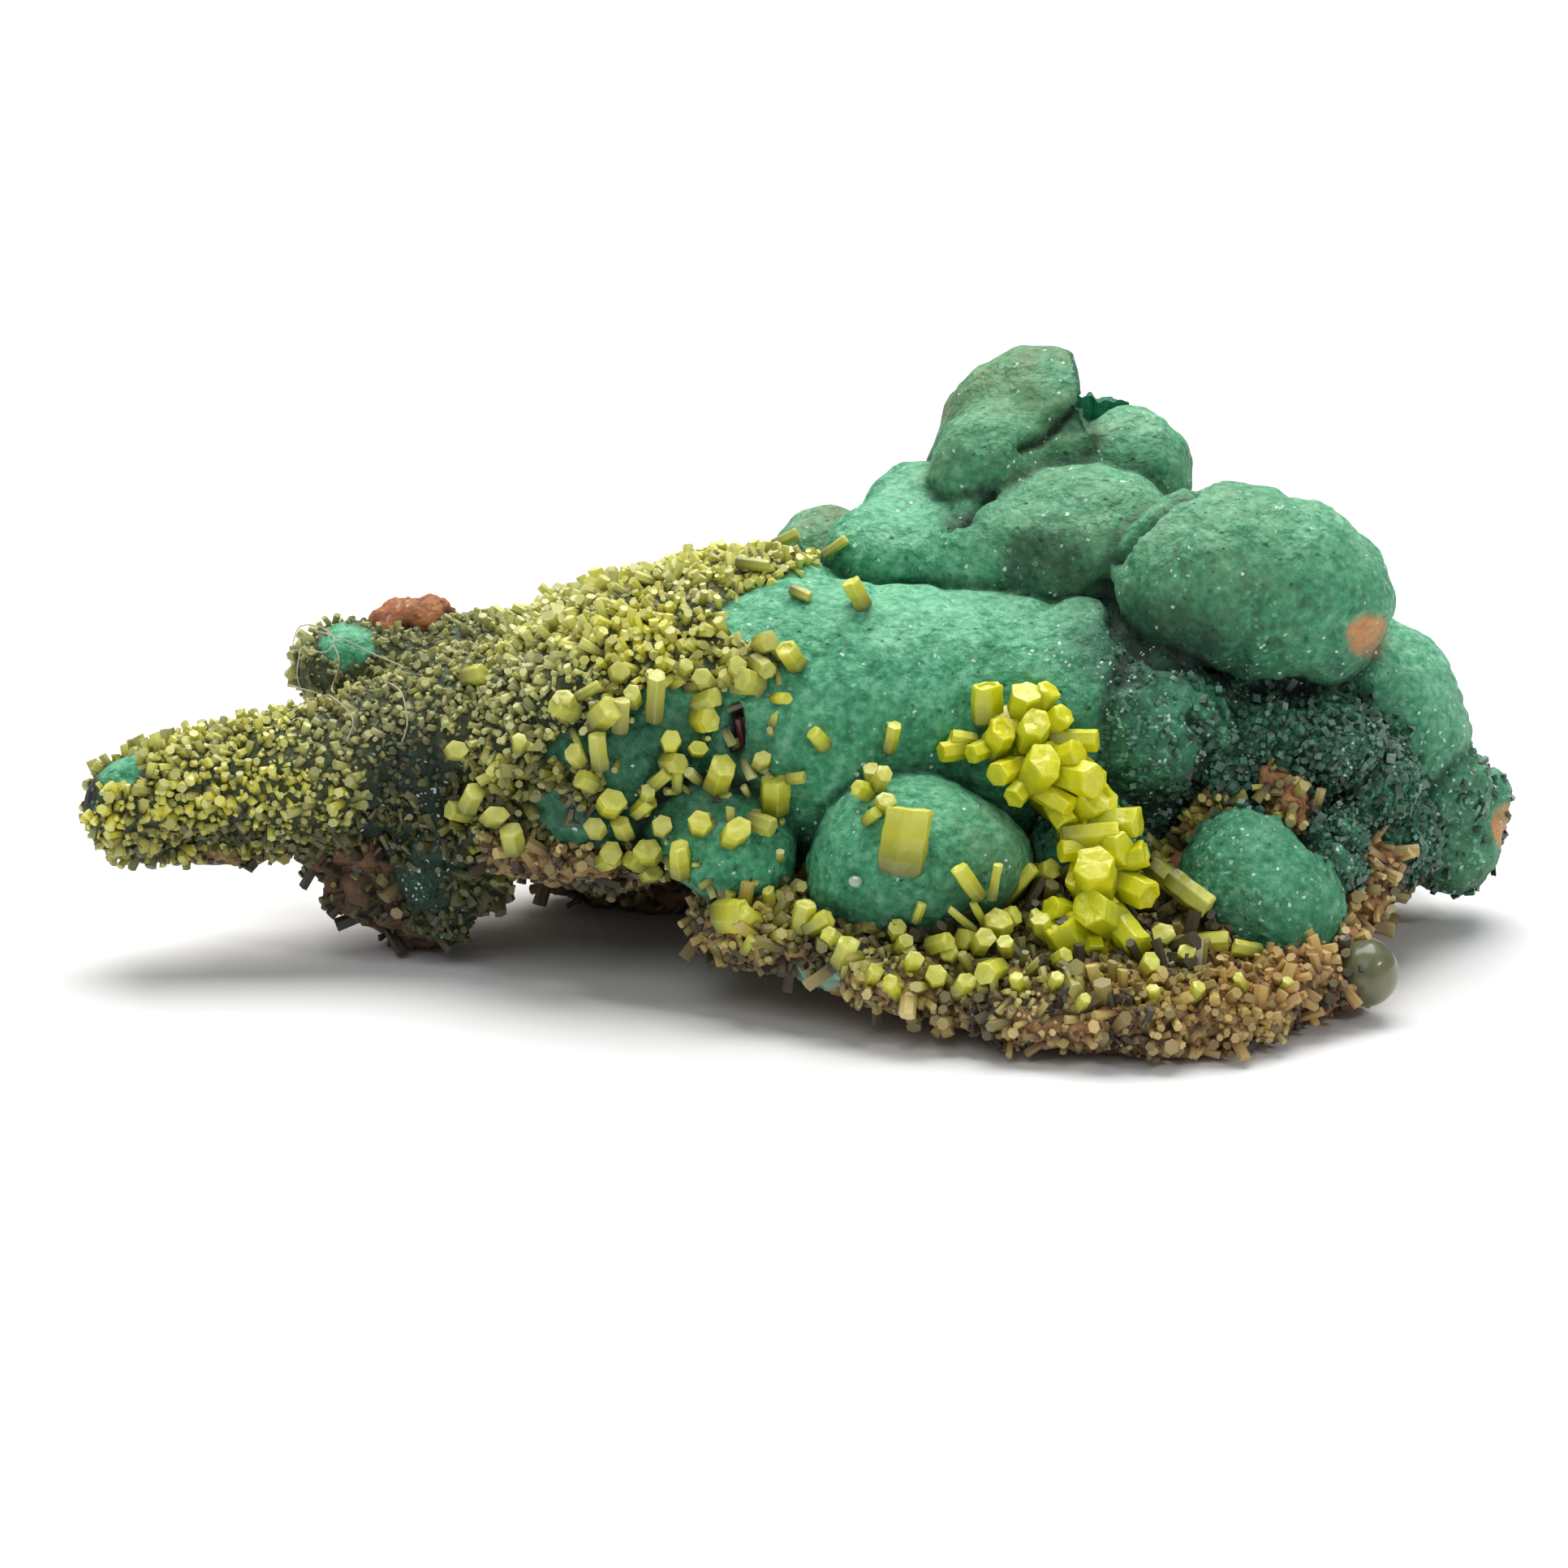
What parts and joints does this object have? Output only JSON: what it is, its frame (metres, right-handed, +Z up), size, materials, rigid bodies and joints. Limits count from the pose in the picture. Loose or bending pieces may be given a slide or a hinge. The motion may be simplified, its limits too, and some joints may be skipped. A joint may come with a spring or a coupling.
{
  "type": "pyromorphite mineral specimen",
  "caption": "Mineral specimen: yellow-green hexagonal crystals and druse on rounded green malachite lumps over a rusty matrix, standing free.",
  "frame": {"origin": "middle of the specimen's footprint, on the surface that it stands on", "axes": "+X to the right of the display face, along the specimen's length; +Y away from the display face; +Z up"},
  "size_m": [0.0604, 0.032, 0.0234],
  "materials": {
    "malachite": "velvety green crust of fine crystals, with dark hollows and small glints",
    "limonite": "crumbly tan to rust-brown earth with dark pits",
    "pyromorphite": "resinous yellow-green prisms, a little translucent",
    "pyromorphite_druse": "small olive to yellow prisms, close together"
  },
  "bodies": {
    "root": {"crystal_bump_1": "pyromorphite", "crystal_bump_2": "pyromorphite", "crystal_bump_3": "pyromorphite", "crystal_bump_4": "pyromorphite", "crystal_bump_5": "pyromorphite", "crystal_dome_large": "pyromorphite", "crystal_hollow": "pyromorphite", "crystal_ridge": "pyromorphite", "crystal_shoulder_1": "pyromorphite", "crystal_shoulder_2": "pyromorphite", "crystal_shoulder_3": "pyromorphite", "crystal_shoulder_4": "pyromorphite", "crystal_shoulder_6": "pyromorphite", "crystal_shoulder_7": "pyromorphite", "crystal_shoulder_8": "pyromorphite", "crystal_shoulder_9": "pyromorphite", "crystal_slope_left": "pyromorphite", "crystal_slope_right": "pyromorphite", "druse_arm": "pyromorphite_druse", "druse_shoulder": "pyromorphite_druse", "limonite_matrix": "limonite", "malachite": "malachite", "malachite_bead": "malachite", "needle_long": "pyromorphite", "needle_low": "pyromorphite", "pyromorphite_pair": "pyromorphite", "pyromorphite_spray": "pyromorphite"}
  },
  "joints": []
}
